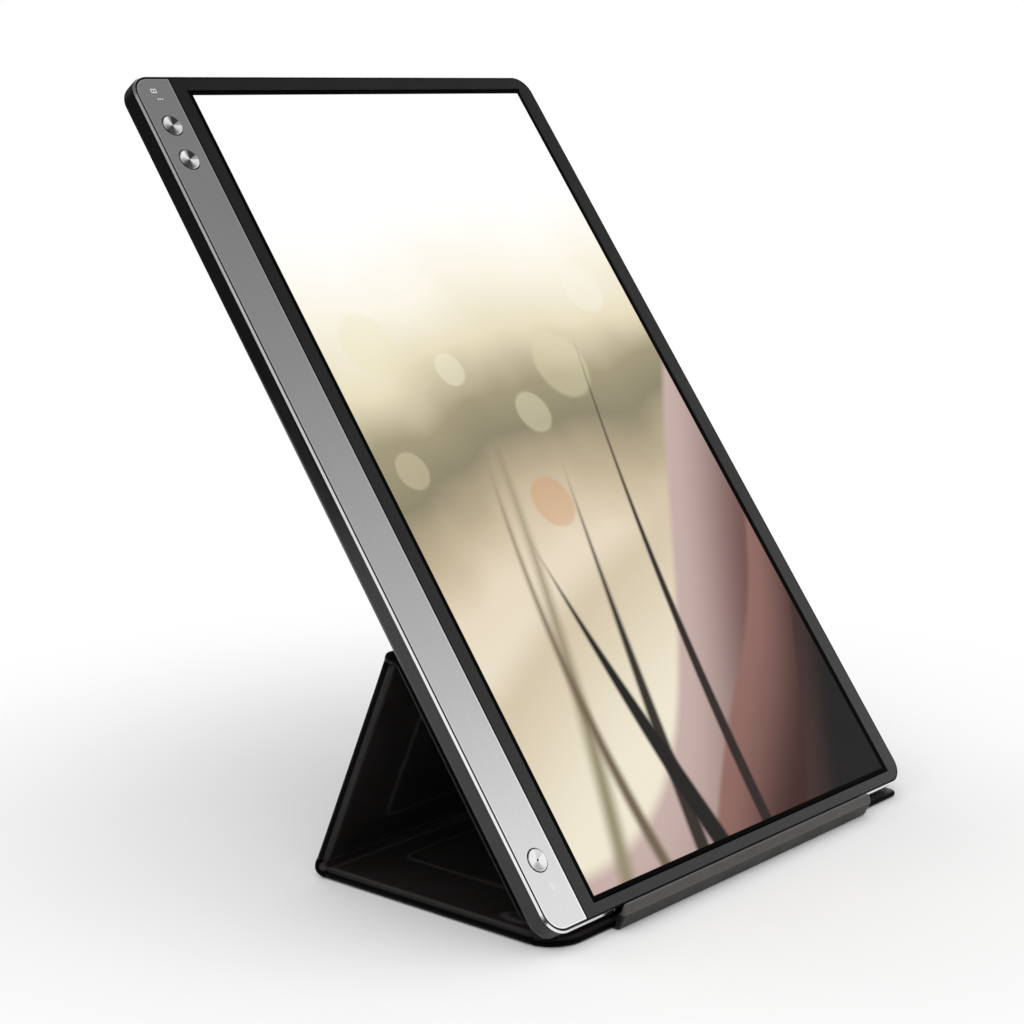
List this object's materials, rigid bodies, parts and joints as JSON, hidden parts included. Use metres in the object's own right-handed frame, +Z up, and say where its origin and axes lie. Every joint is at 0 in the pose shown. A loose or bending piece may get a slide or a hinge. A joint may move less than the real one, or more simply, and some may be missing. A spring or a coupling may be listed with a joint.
{
  "type": "portable monitor with folding cover",
  "caption": "Slim flat-screen monitor standing upright, leaning on a leather cover folded into a triangular stand",
  "frame": {"origin": "centre of the object's footprint box, on the table that the base leaf rests on", "axes": "+Z up, +X to the viewer's right, +Y away from the viewer; the screen faces -Y and up"},
  "size_m": [0.2098, 0.1998, 0.2698],
  "materials": {
    "housing_black": "satin black moulded housing",
    "cut_aluminium": "bright diamond-cut edge",
    "bezel_plastic": "fine matte black",
    "strip_aluminium": "satin, fine blasted",
    "spun_metal": "spun, bright radial highlights",
    "gasket_foam": "black foam",
    "screen_glass": "screen with a soft abstract picture",
    "white_film": "white film",
    "clear_acrylic": "clear moulded sheet",
    "led_strip": "yellow phosphor strip",
    "pan_steel": "pressed sheet",
    "flex_polyimide": "amber film",
    "circuit_board": "green solder mask",
    "chip_epoxy": "black moulded",
    "port_steel": "drawn shell",
    "magnet_metal": "nickel plate",
    "cover_leather": "black grained synthetic leather",
    "cover_lining": "fine matte lining",
    "greyboard": "stiffener sheet",
    "lip_leather": "black grained synthetic leather"
  },
  "bodies": {
    "monitor": {"rear_cover": "housing_black", "trim_ring": "cut_aluminium", "front_bezel": "bezel_plastic", "control_strip": "strip_aluminium", "display_gasket": "gasket_foam", "display_glass": "screen_glass", "diffuser_sheets": "white_film", "light_guide": "clear_acrylic", "led_bar": "led_strip", "reflector_sheet": "white_film", "display_pan": "pan_steel", "display_flexes": "flex_polyimide", "timing_board": "circuit_board", "display_cable": "flex_polyimide", "main_board": "circuit_board", "main_chips": "chip_epoxy", "power_board": "circuit_board", "button_switches": "chip_epoxy", "button_cable": "flex_polyimide", "port_shell": "port_steel", "port_tongue": "chip_epoxy", "board_screws": "pan_steel", "monitor_magnets": "magnet_metal", "front_leaf_skin": "cover_leather", "front_leaf_board": "greyboard", "front_leaf_lining": "cover_lining", "front_leaf_magnets": "magnet_metal"},
    "rear_leaf": {"ridge_fold_leather": "cover_leather", "rear_leaf_skin": "cover_leather", "rear_leaf_board": "greyboard", "rear_leaf_lining": "cover_lining"},
    "base_leaf": {"rear_fold_leather": "cover_leather", "base_leaf_skin": "cover_leather", "base_leaf_board": "greyboard", "base_leaf_lining": "cover_lining", "base_magnets": "magnet_metal"},
    "lip": {"lip_skin": "lip_leather", "lip_core": "magnet_metal", "lip_lining": "cover_lining"},
    "menu_button": {"menu_button": "spun_metal"},
    "input_button": {"input_button": "spun_metal"},
    "power_button": {"power_button": "spun_metal"}
  },
  "joints": [
    {"name": "ridge_fold", "type": "hinge", "parent": "monitor", "child": "rear_leaf", "pos_m": [0, -0.02526, 0.08056], "axis": [1, 0, 0], "range_deg": [0, 120], "deforming": ["ridge_fold_leather"]},
    {"name": "rear_fold", "type": "hinge", "parent": "rear_leaf", "child": "base_leaf", "pos_m": [0, 0.0086, 0.0045], "axis": [1, 0, 0], "range_deg": [0, 113.5], "deforming": ["rear_fold_leather"]},
    {"name": "lip_fold", "type": "hinge", "parent": "base_leaf", "child": "lip", "pos_m": [0, -0.09628, 0.0009], "axis": [1, 0, 0], "range_deg": [0, 60]},
    {"name": "menu_press", "type": "slide", "parent": "monitor", "child": "menu_button", "axis": [0, 0.8121, -0.5835], "range_m": [0, 0.00035], "stiffness_N_per_m": 1500, "springref_m": -0.0002},
    {"name": "input_press", "type": "slide", "parent": "monitor", "child": "input_button", "axis": [0, 0.8121, -0.5835], "range_m": [0, 0.00035], "stiffness_N_per_m": 1500, "springref_m": -0.0002},
    {"name": "power_press", "type": "slide", "parent": "monitor", "child": "power_button", "axis": [0, 0.8121, -0.5835], "range_m": [0, 0.00035], "stiffness_N_per_m": 1500, "springref_m": -0.0002}
  ]
}
